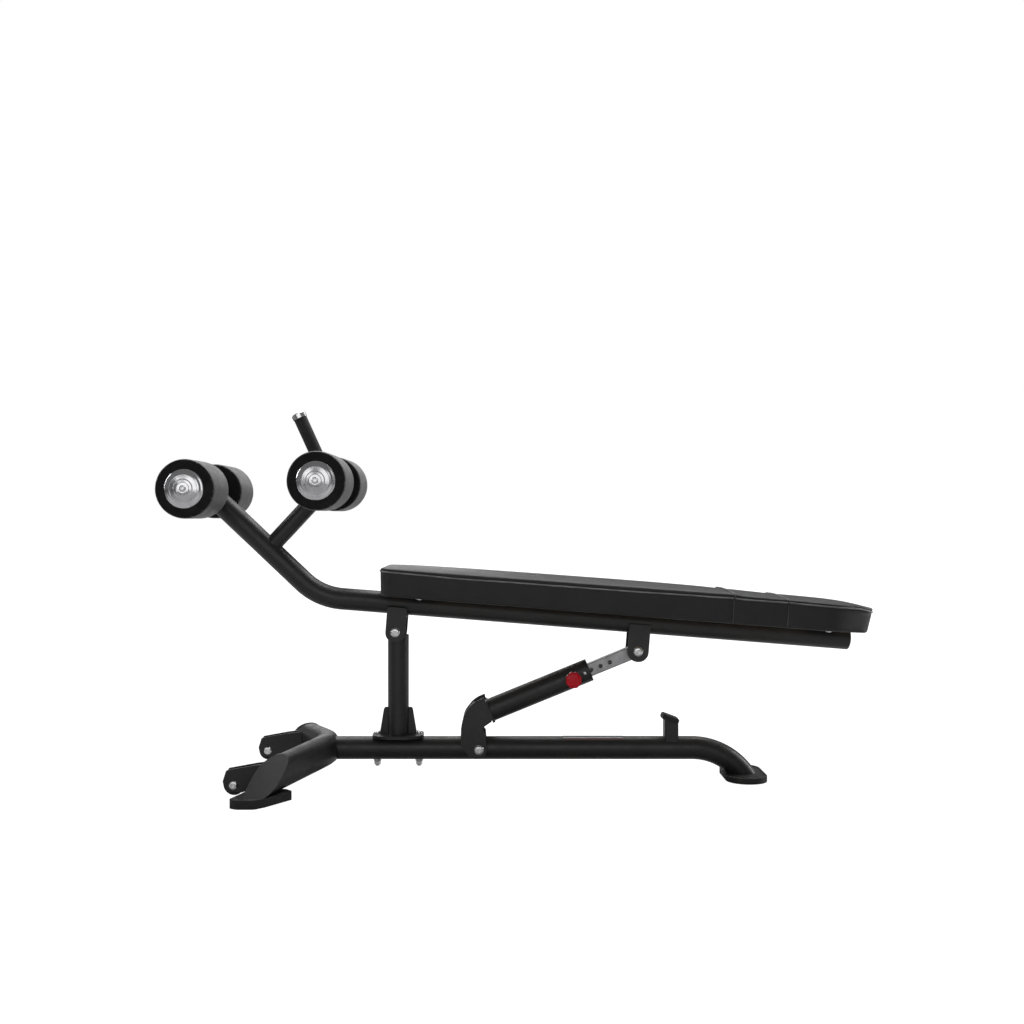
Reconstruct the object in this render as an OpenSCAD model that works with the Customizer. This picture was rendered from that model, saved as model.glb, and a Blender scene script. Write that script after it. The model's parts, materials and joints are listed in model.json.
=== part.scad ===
// Adjustable decline abdominal bench, in millimetres.
// +X runs to the head end of the pad, +Y to the user's left when facing the head end, +Z up.
// The origin is on the floor under the middle of the bench's bounding box.

/* [Base] */
// Height of the tilt axis above the floor
pivot_h = 363.5; // [360:0.5:368]
// Distance from the origin back to the tilt axis
pivot_back = 316; // [312:1:320]
// Diameter of the long base beam
base_d = 57; // [54:0.5:60]
// Height of the base beam's axis
base_h = 73; // [71:0.5:76]
// Distance from the tilt axis to the start of the beam's rear bend
base_run = 738; // [728:1:744]
// Centreline radius of the rear bend
base_bend_r = 160; // [150:1:170]
// Wall thickness of the large tubes
wall = 3; // [2.5:0.5:4]
// Diameter of the upright post
post_d = 52; // [48:0.5:52]

/* [Stabiliser] */
// Width of the stabiliser's oval tube
stab_w = 58; // [56:1:64]
// Height of the stabiliser's oval tube
stab_h = 76; // [72:1:80]
// Distance from the tilt axis back to the stabiliser's middle
stab_back = 172; // [170:1:178]
// Sweep of each arm
stab_sweep = 22; // [20:0.5:24]
// Downward tilt of the plane that holds both arms
stab_tilt = 10; // [8:0.5:12]
// Distance from the middle plane to each transport wheel
wheel_y = 210; // [206:1:214]
// Radius of the transport wheels
wheel_r = 24.5; // [23:0.5:25]

/* [Strut] */
// Distance from the tilt axis to the strut's lower pivot
strut_reach = 207; // [202:1:212]
// Offset of the strut's axis from its lower pivot
strut_offset = 76.5; // [74:0.5:78]
// Diameter of the outer sleeve
sleeve_d = 57; // [56:0.5:58]
// Length of the outer sleeve
sleeve_len = 265; // [255:1:270]
// Width of the square inner tube
inner_w = 32; // [31:0.5:33]
// Spacing of the locking holes
hole_pitch = 25; // [24:0.5:26]
// Diameter of the pull knob
knob_d = 40; // [36:1:44]

/* [Bench] */
// Slope of the bench at rest
rest_slope = 4.5; // [4:0.25:5]
// Diameter of the bench beam
bench_d = 54.5; // [52:0.5:56]
// Height of the bench beam's axis above the tilt axis
bench_rise = 70.5; // [70:0.5:74]
// Distance from the tilt axis to the bench beam's head end
bench_run = 1124; // [1116:2:1130]
// Distance from the tilt axis back to the bend of the bench beam
neck_back = 198; // [194:1:202]
// Upward bend of the neck that carries the toe rollers
neck_angle = 39; // [37:0.5:41]
// Distance from the bend to the toe rollers' axis, along the neck
neck_len = 386; // [380:1:392]
// Distance from the tilt axis to the strut's upper pivot
strut_hold = 603; // [599:1:607]
// Lean of the handle back from square to the bench
handle_lean = 29; // [26:1:32]
// Distance from the knee axle to the top of the handle's grip
handle_len = 178; // [172:1:184]

/* [Pad] */
// Overall length of the pad
pad_len = 1214; // [1208:1:1218]
// Width of the pad
pad_w = 264; // [256:2:272]
// Thickness of the pad and its board at the foot end
pad_t = 64; // [60:1:68]
// Distance that the pad starts behind the tilt axis
pad_back = 43; // [40:1:45]

/* [Rollers] */
// Diameter of the foam rollers
roller_d = 140; // [130:1:142]
// Distance from the middle plane to a roller's inner face
roller_in = 71; // [69:0.5:74]
// Length of a foam roller
roller_len = 158; // [150:1:160]
// Diameter of the polished end caps
cap_d = 91; // [84:1:94]

/* [Hidden] */
$fn = 48;

black = [0.12, 0.12, 0.12];
satin = [0.17, 0.17, 0.17];
rubber = [0.07, 0.07, 0.07];
vinyl = [0.10, 0.10, 0.10];
zinc = [0.72, 0.73, 0.74];
polished = [0.86, 0.86, 0.88];
red = [0.70, 0.03, 0.07];
bronze = [0.62, 0.48, 0.28];
ply = [0.70, 0.55, 0.38];
foam = [0.30, 0.30, 0.31];
blank = [0.55, 0.55, 0.56];

cut = 1;              // overshoot of every cutting solid
gap = 0.3;            // air between parts that move past each other
run_fit = 0.05;       // radial clearance of a running fit
plate_t = 6;          // thickness of the heavy plates
bend_thinning = 0.1;  // how much the stabiliser's bend thins the tube
bend_lap = 0.2;       // length by which a stabiliser arm runs into its bend

// Base
base_top = base_h + base_d / 2;
base_bend = 60;
stab_bend_r = 150;
stab_arm_len = 320;
end_plate_y = 268;    // where an arm's axis meets its end plate
end_plate_z = 58.5;
end_plate_slope = 36;
end_plate_t = 4;
slab_w = 360;         // width of the solid that cuts the stabiliser's ends
foot_h = 20;
foot_rim = 4;
front_foot = [
    [-346, 335, 14], [-326, 349, 18], [-286, 349, 18], [-266, 328, 18],
    [-217, 250, 8], [-236, 228, 10], [-316, 228, 12]
];
rear_foot_x = 866;
rear_foot_size = [101, 186];
rear_foot_r = 50;
rear_foot_h = 12;
rear_lip = 2;          // height of the rear pad's rim above its plate
wheel_x = -358;
wheel_z = 28;
wheel_w = 21;
fork_t = 5;
axle_r = 5;
wheel_fork = [
    [-378, 13, 15], [-383, 37, 4], [-375, 62, 4], [-309, 74, 0], [-258, 80, 0],
    [-258, 40, 0], [-338, 11, 15]
];

// Post
post_x = 5 - pivot_back;
flange_size = [126, 108];
flange_t = 7;
flange_z = base_top;
post_bolt_x = 52;
post_bolt_r = 5;
gusset_t = 8;
gusset = [[20, 0], [45, 0], [45, 8], [36, 62], [33, 66], [20, 66]];
pivot_tube_r = 21;
pivot_tube_half = 26.5;
pivot_bush_r = 12;
bush_flange = 1.8;
bush_len = 16;
tilt_plate_y = pivot_tube_half + bush_flange + gap;
bolt_r = 6;
bolt_head_r = 12;
bolt_head_h = 7;

// Stop
stop_x = 685.5;
stop_slope = 20.5;
stop_w = 34;
stop_depth = 45;
stop_cap_t = 12;
stop_cap_top = 152.8;
label_x = 491;
label_len = 150;
label_t = 0.6;
label_arc = 44;

// Strut
pivot = [-pivot_back, 0, pivot_h];
lower_pivot = [strut_reach - pivot_back, 0, base_h];
upper_pivot = pivot + strut_hold * [cos(rest_slope), 0, -sin(rest_slope)];
strut_line = upper_pivot - lower_pivot;
strut_span = sqrt(strut_line * strut_line - strut_offset * strut_offset);
strut_angle = atan2(strut_line.z, strut_line.x) - atan2(strut_offset, strut_span);
sleeve_start = 63.5;
sleeve_end = sleeve_start + sleeve_len;
sleeve_wall = 2.75;
lower_bush_r = 10;
lower_tube_r = 13;
lower_tube_half = 29;
lower_plate_y = lower_tube_half + bush_flange + gap;
lower_plate_t = 5;
bracket_outline = [
    [-21, -21, 20], [21, -21, 20], [16, 40, 0], [9, 49, 6], [12, 57, 6], [31, 70, 4],
    [34, 78, 0], [14, 124, 0], [15, 131, 3], [-14, 118, 60], [-37, 88, 50], [-44.5, 54, 50],
    [-45, 10, 20]
];
guide_len = 22;
guide_flange = 6;
inner_wall = 3;
inner_in = 150;       // length of inner tube inside the sleeve
inner_past = 14;      // length of inner tube past the upper pivot
inner_corner = 3;
slack_r = 12.6;       // oversize hole that takes up the linkage's slack
hole_r = 5.5;
pin_at = sleeve_end - 46.5;
pin_r = 5;
pin_gap = 0.4;
pin_collar_r = 7.3;
pin_collar_y = 24.5;
housing_r = 12.5;
housing_y = 50;
housing_bore_r = 8;
spring_in = 38;       // nearest the strut's axis that the spring reaches
spring_out = 45;
spring_r = 6.4;
spring_wire_r = 0.5;
spring_turns = 5;
knob_y = 66;
knob_t = 19;
knob_lobes = 8;

// Bench
bench_under = bench_rise - bench_d / 2;
bench_top = bench_rise + bench_d / 2;
neck_bend_r = 160;
neck_tangent = neck_bend_r * tan(neck_angle / 2);
bench_bend_x = neck_tangent - neck_back;
toe_axle = [-neck_back - neck_len * cos(neck_angle), bench_rise + neck_len * sin(neck_angle)];
knee_axle = [-195, 356];
knee_foot = [-334, bench_rise + (334 - neck_back) * tan(neck_angle)];
knee_angle = atan2(knee_axle.y - knee_foot.y, knee_axle.x - knee_foot.x);
knee_len = norm(knee_axle - knee_foot);
knee_d = 42.4;
toe_hub_r = bench_d / 2 + 1.5;
knee_hub_r = 22.5;
hub_half = 34;
roller_axle_r = 12.5;
core_r = 16;
collar_r = 21;
collar_t = 9;
roller_out = roller_in + roller_len;
cap_gap = 0.6;
roller_edge = 9;
tilt_plate_w = 49;
upper_plate_w = 52;
upper_plate_y = 25.5;
upper_plate_t = 6;
upper_boss_r = 11;
handle_d = 25.4;
grip_d = 33;
grip_from = 50;
grip_collar_h = 13;

// Pad
pad_z = bench_top + gap;
board_t = 15;
board_inset = 24;      // distance from the pad's ends to its board
cover_t = 2.5;
mount_at = [54, 1056];
mount_len = 60;
mount_w = 190;
mount_t = 5;
mount_screw_y = 78;
pad_rise = 5;         // extra thickness where the head section starts
pad_drop = 2;         // step down past the head section's seam
pad_hang = 4.5;       // distance that the pad's edges hang below its board
pad_notch = 62;       // width of the cut in the foot edge that clears the bench beam
pad_head = 811;       // distance from the tilt axis to that seam
pad_plan = [
    [-pad_back, -pad_w / 2, 34], [pad_len - pad_back - 110, -pad_w / 2, 160],
    [pad_len - pad_back, -pad_w / 2 + 52, 62], [pad_len - pad_back, pad_w / 2 - 52, 62],
    [pad_len - pad_back - 110, pad_w / 2, 160], [-pad_back, pad_w / 2, 34]
];
pad_side = [
    [-pad_back + 9, -pad_hang, 0], [-pad_back, pad_t - 12, 12], [-pad_back + 6, pad_t, 12],
    [pad_head, pad_t + pad_rise, 0], [pad_head + 24, pad_t + pad_rise - pad_drop, 30],
    [pad_len - pad_back - 50, pad_t - 1, 120], [pad_len - pad_back, pad_t - 7, 12],
    [pad_len - pad_back - 14, -pad_hang, 0]
];

// ---------- helpers ----------

function unit(v) = v / norm(v);
function flat(p) = [p.x, p.y];

// Arc that rounds the corner v, between p and q, to radius v.z
function corner(p, v, q, n = 8) =
    let (a = unit(flat(p) - flat(v)), b = unit(flat(q) - flat(v)), half = acos(a * b) / 2,
         c = flat(v) + unit(a + b) * v.z / sin(half),
         s = flat(v) + a * v.z / tan(half) - c, e = flat(v) + b * v.z / tan(half) - c,
         start = atan2(s.y, s.x), turn = (atan2(e.y, e.x) - start + 540) % 360 - 180)
    [for (i = [0:n]) c + v.z * [cos(start + turn * i / n), sin(start + turn * i / n)]];

// Polygon whose corners are [x, y, radius]
module rounded(pts) {
    n = len(pts);
    polygon([for (i = [0:n - 1])
        each (pts[i].z > 0 ? corner(pts[(i + n - 1) % n], pts[i], pts[(i + 1) % n]) : [flat(pts[i])])]);
}

module rounded_box(size, r) {
    x = size.x / 2;
    y = size.y / 2;
    rounded([[-x, -y, r], [x, -y, r], [x, y, r], [-x, y, r]]);
}

module both_sides() {
    children();
    mirror([0, 1, 0]) children();
}

// Cross-section of a large tube's straight length
module ring(d) difference() {
    circle(d = d);
    circle(d = d - 2 * wall);
}

// Outline of the stabiliser's oval tube, grown by g
module stab_outline(g = 0) {
    w = stab_w + 2 * g;
    h = stab_h + 2 * g;
    rounded_box([w, h], w / 2 - 1.5);
}

// Cross-section of the stabiliser, with both walls moved inward by thin
module stab_ring(thin = 0) difference() {
    stab_outline(-thin);
    stab_outline(thin - wall);
}

// Outline in the X-Z plane, extruded from y0 to y1
module plate_y(y0, y1) translate([0, y1, 0]) rotate([90, 0, 0]) linear_extrude(y1 - y0) children();

// Cylinder along Y from y0 to y1
module rod_y(r, y0, y1) translate([0, y0, 0]) rotate([-90, 0, 0]) cylinder(r = r, h = y1 - y0);

// Cylinder along X from x0 to x1
module rod_x(r, x0, x1) translate([x0, 0, 0]) rotate([0, 90, 0]) cylinder(r = r, h = x1 - x0);

module at_pivot() translate(pivot) children();
module at_bench() translate(pivot) rotate([0, rest_slope, 0]) children();
module at_toe() at_bench() translate([toe_axle.x, 0, toe_axle.y]) children();
module at_knee() at_bench() translate([knee_axle.x, 0, knee_axle.y]) children();
module at_lower_pivot() translate(lower_pivot) children();
module at_strut() translate(lower_pivot) rotate([0, -strut_angle, 0]) children();
module at_pin() at_strut() translate([pin_at, 0, strut_offset]) children();

// Domed cap-screw head that sits on z = 0, with a hexagonal socket
module button_head(r, h) {
    socket_r = r * 0.42;
    difference() {
        rotate_extrude() polygon(concat([[0, 0], [r, 0]],
            [for (a = [0:15:90]) [r * (0.45 + 0.55 * cos(a)), h * (0.25 + 0.75 * sin(a))]], [[0, h]]));
        translate([0, 0, h * 0.45]) cylinder(r = socket_r, h = h, $fn = 6);
    }
}

module hex_nut(r, h, bore_r) difference() {
    cylinder(r = r, h = h, $fn = 6);
    translate([0, 0, -cut]) cylinder(r = bore_r, h = h + 2 * cut);
}

// Pivot bolt along Y with a domed head at each end, outside plates that end at y
module pivot_bolt(y) {
    rod_y(bolt_r, -y - cut, y + cut);
    both_sides() translate([0, -y, 0]) rotate([90, 0, 0]) {
        cylinder(r = bolt_head_r, h = 2);
        translate([0, 0, 2]) button_head(bolt_head_r - 0.6, bolt_head_h - 2);
    }
}

// ---------- base ----------

// The plane of the stabiliser's two arms, with the middle of its bend at the origin
module at_stabiliser() translate([-pivot_back - stab_back, 0, base_h]) rotate([0, -stab_tilt, 0]) children();

// The stabiliser's middle bend, with its cross-section as the child
module stab_bend() at_stabiliser() translate([-stab_bend_r, 0, 0]) rotate([0, 0, -stab_sweep])
    rotate_extrude(angle = 2 * stab_sweep) translate([stab_bend_r, 0]) children();

// The left arm, with its cross-section as the child
module stab_arm() at_stabiliser() translate(stab_bend_r * [cos(stab_sweep) - 1, sin(stab_sweep), 0])
    rotate([0, 0, stab_sweep]) rotate([-90, 0, 0]) translate([0, 0, -bend_lap])
        linear_extrude(stab_arm_len) children();

// Slab on the left side whose inner face is the sloping cut of the tube's end
module end_slab(t) translate([-pivot_back - slab_w, end_plate_y, end_plate_z])
    rotate([-end_plate_slope, 0, 0]) translate([-slab_w / 2, -slab_w / 2, 0]) cube([slab_w, slab_w, t]);

module at_post() translate([post_x, 0, 0]) children();

module post_bolt_holes(r) for (s = [-1, 1])
    at_post() translate([s * post_bolt_x, 0, 0]) cylinder(r = r, h = 2 * base_top);

module base_beam() color(black) difference() {
    translate([-pivot_back - stab_back, 0, base_h]) rotate([0, 90, 0])
        linear_extrude(base_run + stab_back) ring(base_d);
    stab_bend() stab_outline();
    at_lower_pivot() rod_y(lower_tube_r, -base_d, base_d);
    post_bolt_holes(post_bolt_r + 0.5);
}

// The base beam's downward bend, cut level where it stands on the rear foot's plate
module rear_bend() color(black) difference() {
    translate([base_run - pivot_back, 0, base_h - base_bend_r]) rotate([90, 0, 0])
        rotate([0, 0, 90 - base_bend]) rotate_extrude(angle = base_bend)
            translate([base_bend_r, 0]) ring(base_d);
    translate([base_run - pivot_back, -base_d, -200]) cube([300, 2 * base_d, 200 + rear_foot_h]);
}

// Space below the tops of the front feet
module under_foot() translate([-pivot_back - 500, -500, -100]) cube([400, 1000, 100 + foot_h]);

module front_stabiliser() color(black) difference() {
    union() {
        stab_bend() stab_ring(bend_thinning);
        both_sides() stab_arm() stab_ring();
    }
    both_sides() end_slab(slab_w);
    under_foot();
}

module stabiliser_end_plates() color(satin) both_sides() difference() {
    intersection() {
        end_slab(end_plate_t);
        stab_arm() stab_outline(1.5);
    }
    under_foot();
}

module front_foot_outline(inset) translate([-pivot_back, 0]) offset(delta = -inset) rounded(front_foot);

module rear_foot_outline(inset) translate([rear_foot_x - pivot_back, 0])
    rounded_box(rear_foot_size - 2 * inset * [1, 1], rear_foot_r - inset);

module foot_plates() color(black) {
    both_sides() translate([0, 0, foot_h - plate_t]) linear_extrude(plate_t) front_foot_outline(foot_rim);
    translate([0, 0, rear_foot_h - plate_t]) linear_extrude(plate_t) rear_foot_outline(foot_rim);
}

module foot_pads() color(rubber) {
    both_sides() difference() {
        linear_extrude(foot_h) front_foot_outline(0);
        translate([0, 0, foot_h - plate_t]) linear_extrude(plate_t + cut) front_foot_outline(foot_rim);
    }
    difference() {
        linear_extrude(rear_foot_h + rear_lip) rear_foot_outline(0);
        translate([0, 0, rear_foot_h - plate_t]) linear_extrude(plate_t + rear_lip + cut)
            rear_foot_outline(foot_rim);
    }
}

module at_wheel() translate([wheel_x - pivot_back, wheel_y, wheel_z]) children();

module wheel_brackets() color(black) both_sides() difference() {
    for (y = [wheel_w / 2 + 1, -wheel_w / 2 - 1 - fork_t])
        translate([-pivot_back, wheel_y + y, 0]) plate_y(0, fork_t) rounded(wheel_fork);
    stab_arm() stab_outline();
    at_wheel() rod_y(axle_r + 0.2, -wheel_w, wheel_w);
}

module wheel_axles() color(zinc) both_sides() at_wheel() {
    out = wheel_w / 2 + 1 + fork_t;
    rod_y(axle_r, -out - cut, out + cut);
    both_sides() translate([0, out, 0]) rotate([-90, 0, 0]) button_head(10.5, 5);
}

module wheel() at_wheel() rotate([-90, 0, 0]) rotate_extrude() {
    h = wheel_w / 2;
    polygon([
        [axle_r + run_fit, -h], [13, -h], [14, -h + 2], [18, -h + 2], [19, -h], [wheel_r - 2, -h],
        [wheel_r, -h + 2], [wheel_r, h - 2], [wheel_r - 2, h], [19, h], [18, h - 2], [14, h - 2],
        [13, h], [axle_r + run_fit, h]
    ]);
}

module wheel_left() color(rubber) wheel();
module wheel_right() color(rubber) mirror([0, 1, 0]) wheel();

// ---------- upright post ----------

module upright_post() color(black) difference() {
    at_post() translate([0, 0, flange_z + flange_t]) cylinder(d = post_d, h = pivot_h - flange_z - flange_t);
    at_post() cylinder(d = post_d - 2 * wall, h = pivot_h + cut);
    at_pivot() rod_y(pivot_tube_r, -post_d, post_d);
    at_pivot() translate([-post_d, -post_d, -8]) cube(2 * post_d);
}

module post_flange() color(black) difference() {
    at_post() translate([0, 0, flange_z]) linear_extrude(flange_t) oval(flange_size / 2);
    post_bolt_holes(post_bolt_r + 0.5);
}

// Oval with half-lengths half.x and half.y, as an octagon with wide rounded corners
module oval(half) {
    r = 34;
    a = half.x;
    b = half.y;
    rounded([[-a, -b * 0.62, r], [-a * 0.45, -b, r], [a * 0.45, -b, r], [a, -b * 0.62, r],
        [a, b * 0.62, r], [a * 0.45, b, r], [-a * 0.45, b, r], [-a, b * 0.62, r]]);
}

module post_gussets() color(black) at_post() difference() {
    for (s = [0, 180]) translate([0, 0, flange_z + flange_t]) rotate([0, 0, s])
        plate_y(-gusset_t / 2, gusset_t / 2) polygon(gusset);
    cylinder(d = post_d, h = pivot_h);
}

module post_bolts() color(zinc) for (s = [-1, 1]) at_post() translate([s * post_bolt_x, 0, 0]) {
    top = flange_z + flange_t;
    bottom = base_h - base_d / 2 - 16;
    translate([0, 0, top]) button_head(6.2, 6);
    translate([0, 0, bottom]) cylinder(r = post_bolt_r, h = top - bottom + cut);
}

module post_nuts() for (s = [-1, 1]) at_post() translate([s * post_bolt_x, 0, base_h]) {
    color(black) difference() {
        translate([0, 0, -base_d / 2 - 5]) cylinder(r1 = 9, r2 = 10.5, h = 9);
        rod_x(base_d / 2, -20, 20);
        translate([0, 0, -base_d]) cylinder(r = post_bolt_r + gap, h = base_d);
    }
    color(zinc) translate([0, 0, -base_d / 2 - 13.2]) hex_nut(8, 8, post_bolt_r);
}

module pivot_tubes() color(black) {
    at_pivot() difference() {
        rod_y(pivot_tube_r, -pivot_tube_half, pivot_tube_half);
        rod_y(pivot_bush_r, -post_d, post_d);
    }
    at_lower_pivot() difference() {
        rod_y(lower_tube_r, -lower_tube_half, lower_tube_half);
        rod_y(lower_bush_r, -post_d, post_d);
    }
}

// Flanged bushing on the left side, with its flange outside a tube that ends at y
module bushing(r, y, flange_r) difference() {
    union() {
        rod_y(r, y - bush_len, y);
        rod_y(flange_r, y, y + bush_flange);
    }
    rod_y(bolt_r + run_fit, 0, 2 * y);
}

module pivot_bushings() color(bronze) both_sides() {
    at_pivot() bushing(pivot_bush_r, pivot_tube_half, pivot_bush_r + 6);
    at_lower_pivot() bushing(lower_bush_r, lower_tube_half, lower_tube_r);
}

// ---------- stop ----------

module at_stop() translate([stop_x - pivot_back, 0, stop_cap_top]) rotate([0, stop_slope, 0]) children();

module stop_post() color(black) difference() {
    translate([stop_x - pivot_back, 0, base_h]) linear_extrude(stop_cap_top - base_h) difference() {
        rounded_box([stop_w, stop_depth], 5);
        rounded_box([stop_w - 2 * wall, stop_depth - 2 * wall], 2);
    }
    translate([0, 0, base_h]) rod_x(base_d / 2, 0, base_run - pivot_back);
    at_stop() translate([-60, -60, -stop_cap_t]) cube(120);
}

module stop_cap() color(rubber) at_stop() translate([0, 0, -stop_cap_t]) {
    linear_extrude(stop_cap_t - 2) rounded_box([stop_w + 9, stop_depth + 8], 8);
    translate([0, 0, stop_cap_t - 2]) linear_extrude(2) rounded_box([stop_w + 5, stop_depth + 4], 6);
}

module label_strip() color(blank) translate([label_x - label_len / 2 - pivot_back, 0, base_h])
    rotate([0, 90, 0]) rotate([0, 0, 180 - label_arc]) rotate_extrude(angle = 2 * label_arc)
        translate([base_d / 2, 0]) square([label_t, label_len]);

// ---------- strut ----------

module strut_sleeve() color(black) at_strut() difference() {
    translate([0, 0, strut_offset]) rod_x(sleeve_d / 2, sleeve_start, sleeve_end - guide_flange);
    translate([0, 0, strut_offset]) rod_x(sleeve_d / 2 - sleeve_wall, sleeve_start - cut, sleeve_end);
    translate([pin_at, 0, strut_offset]) rod_y(housing_r, -sleeve_d, 0);
}

module strut_bracket() color(satin) {
    both_sides() translate(lower_pivot) difference() {
        plate_y(lower_plate_y, lower_plate_y + lower_plate_t) rounded(bracket_outline);
        rod_y(bolt_r, 0, post_d);
    }
    at_strut() translate([sleeve_start - plate_t, 0, strut_offset]) rotate([0, 90, 0])
        linear_extrude(plate_t) square([56, 2 * lower_plate_y], center = true);
    translate(lower_pivot) plate_y(-lower_plate_y, lower_plate_y)
        polygon([[-44.5, 40], [-43, 62], [-36.5, 84], [-23, 103], [-13, 112.5], [-9.5, 107.5],
            [-19, 98.5], [-31.5, 81], [-37.7, 61], [-39, 40]]);
}

module sleeve_guide() color(rubber) at_strut() translate([0, 0, strut_offset]) difference() {
    union() {
        rod_x(sleeve_d / 2 - sleeve_wall, sleeve_end - guide_flange - guide_len, sleeve_end);
        rod_x(sleeve_d / 2, sleeve_end - guide_flange, sleeve_end);
    }
    translate([0, -inner_w / 2 - gap, -inner_w / 2 - gap])
        cube([2 * sleeve_end, inner_w + 2 * gap, inner_w + 2 * gap]);
}

module guide_screws() color(zinc) at_strut() translate([sleeve_end - 14, 0, strut_offset]) both_sides()
    translate([0, -sleeve_d / 2, 0]) rotate([90, 0, 0]) button_head(4, 2.4);

module lower_pivot_bolt() color(zinc) at_lower_pivot() pivot_bolt(lower_plate_y + lower_plate_t);

module pin_housing() color(zinc) at_pin() difference() {
    rod_y(housing_r, -housing_y, -22);
    rod_y(housing_bore_r, -spring_out - 1, -20);
    rod_y(pin_r + run_fit, -2 * housing_y, 0);
}

// Closed coil of round wire, swept along a helix about Y
module pin_spring() color(zinc) at_pin() {
    steps = 14;
    sides = 6;
    rings = spring_turns * steps;
    pts = [for (i = [0:rings], j = [0:sides - 1])
        let (a = 360 * i / steps, b = 360 * j / sides, r = spring_r + spring_wire_r * cos(b))
        [r * cos(a), -spring_in - (spring_out - spring_in) * i / rings + spring_wire_r * sin(b), r * sin(a)]];
    walls = [for (i = [0:rings - 1], j = [0:sides - 1]) let (k = (j + 1) % sides)
        [i * sides + j, i * sides + k, (i + 1) * sides + k, (i + 1) * sides + j]];
    polyhedron(pts, concat([[for (j = [sides - 1:-1:0]) j]], walls,
        [[for (j = [0:sides - 1]) rings * sides + j]]));
}

module pin_shaft() color(zinc) at_pin() {
    rod_y(pin_r, -knob_y - 6, -inner_w / 2 - pin_gap);
    rod_y(pin_collar_r, -pin_collar_y, -pin_collar_y + 2.5);
}

module pin_knob() color(red) at_pin() translate([0, knob_t / 2 - knob_y, 0]) rotate([90, 0, 0]) difference() {
    union() {
        cylinder(d = 24, h = 5);
        translate([0, 0, 4]) linear_extrude(knob_t - 8) knob_outline(knob_d / 2);
        translate([0, 0, knob_t - 4]) rotate_extrude() polygon([
            [0, 0], [knob_d / 2 - 2.6, 0], [knob_d / 2 - 4, 2.2], [knob_d / 2 - 8, 3.6], [0, 4.4]]);
    }
    translate([0, 0, -cut]) cylinder(r = pin_r, h = knob_t / 2 + 6 + cut);
}

module knob_outline(r) difference() {
    circle(r = r);
    for (i = [0:knob_lobes - 1]) rotate(360 / knob_lobes * (i + 0.5)) translate([r + 9.5, 0]) circle(r = 11);
}

module inner_tube() color(zinc) at_strut() translate([0, 0, strut_offset]) difference() {
    translate([sleeve_end - inner_in, 0, 0]) rotate([0, 90, 0])
        linear_extrude(strut_span + inner_past - sleeve_end + inner_in) difference() {
            rounded_box([inner_w, inner_w], inner_corner);
            rounded_box([inner_w - 2 * inner_wall, inner_w - 2 * inner_wall], 1);
        }
    for (i = [-1:4]) translate([pin_at + i * hole_pitch, 0, 0]) rod_y(hole_r, -inner_w, 0);
    translate([strut_span, 0, 0]) rod_y(slack_r, -inner_w, inner_w);
}

module inner_end_plug() color(rubber) at_strut() translate([sleeve_end - inner_in, 0, strut_offset])
    rotate([0, 90, 0]) {
        translate([0, 0, -3]) linear_extrude(3) rounded_box([inner_w, inner_w], inner_corner);
        linear_extrude(12) rounded_box([inner_w - 2 * inner_wall, inner_w - 2 * inner_wall], 1);
    }

// ---------- bench frame ----------

// The neck's straight length, with its cross-section as the child
module neck() translate([-neck_back, 0, bench_rise]) rotate([0, neck_angle - 90, 0])
    translate([0, 0, neck_tangent]) linear_extrude(neck_len - neck_tangent) children();

module bench_beam() color(black) at_bench() translate([bench_bend_x, 0, bench_rise]) rotate([0, 90, 0])
    linear_extrude(bench_run - bench_bend_x) ring(bench_d);

module neck_bend() color(black) at_bench() translate([bench_bend_x, 0, bench_rise + neck_bend_r])
    rotate([90, 0, 0]) rotate([0, 0, -90 - neck_angle]) rotate_extrude(angle = neck_angle)
        translate([neck_bend_r, 0]) ring(bench_d);

module neck_tube() color(black) at_bench() difference() {
    neck() ring(bench_d);
    translate([toe_axle.x, 0, toe_axle.y]) rod_y(toe_hub_r, -hub_half - cut, hub_half + cut);
}

// Plugs in the head end of the bench beam and in the top of the handle
module tube_plugs() color(rubber) {
    at_bench() translate([bench_run, 0, bench_rise]) rotate([0, 90, 0]) {
        translate([0, 0, -16]) cylinder(d = bench_d - 2 * wall, h = 16);
        rotate_extrude() polygon([[0, 0], [bench_d / 2 - 0.5, 0], [bench_d / 2 - 1.5, 2.5],
            [bench_d / 2 - 6, 4.5], [0, 5.5]]);
    }
    at_handle() translate([0, 0, handle_len + 2]) rotate_extrude()
        polygon([[0, 0], [9.5, 0], [9.5, 8], [8, 10], [4, 11.4], [0, 11.8]]);
}

module tilt_bracket() color(satin) at_bench() {
    half = tilt_plate_w / 2;
    both_sides() difference() {
        plate_y(tilt_plate_y, tilt_plate_y + plate_t)
            rounded([[-half, -half, half - 1], [half, -half, half - 1], [half, 62, 6], [-half, 62, 6]]);
        rod_y(bolt_r, 0, post_d);
    }
    translate([-half, -tilt_plate_y, bench_under - plate_t]) cube([tilt_plate_w, 2 * tilt_plate_y, plate_t]);
}

// Two plates hung from the bench beam's sides, each with a boss that reaches in to the inner tube
module strut_upper_bracket() color(satin) at_bench() both_sides() difference() {
    half = upper_plate_w / 2;
    translate([strut_hold, 0, 0]) {
        plate_y(upper_plate_y, upper_plate_y + upper_plate_t) rounded([[-half, -half, half - 1],
            [half, -half, half - 1], [half, bench_rise - 4, 0], [-half, bench_rise - 4, 0]]);
        rod_y(upper_boss_r, inner_w / 2 + 0.8, upper_plate_y);
    }
    translate([strut_hold, 0, 0]) rod_y(bolt_r, 0, post_d);
    translate([0, 0, bench_rise]) rod_x(bench_d / 2, 0, bench_run);
}

module bench_pivot_bolts() color(zinc) at_bench() {
    pivot_bolt(tilt_plate_y + plate_t);
    translate([strut_hold, 0, 0]) pivot_bolt(upper_plate_y + upper_plate_t);
}

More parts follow.
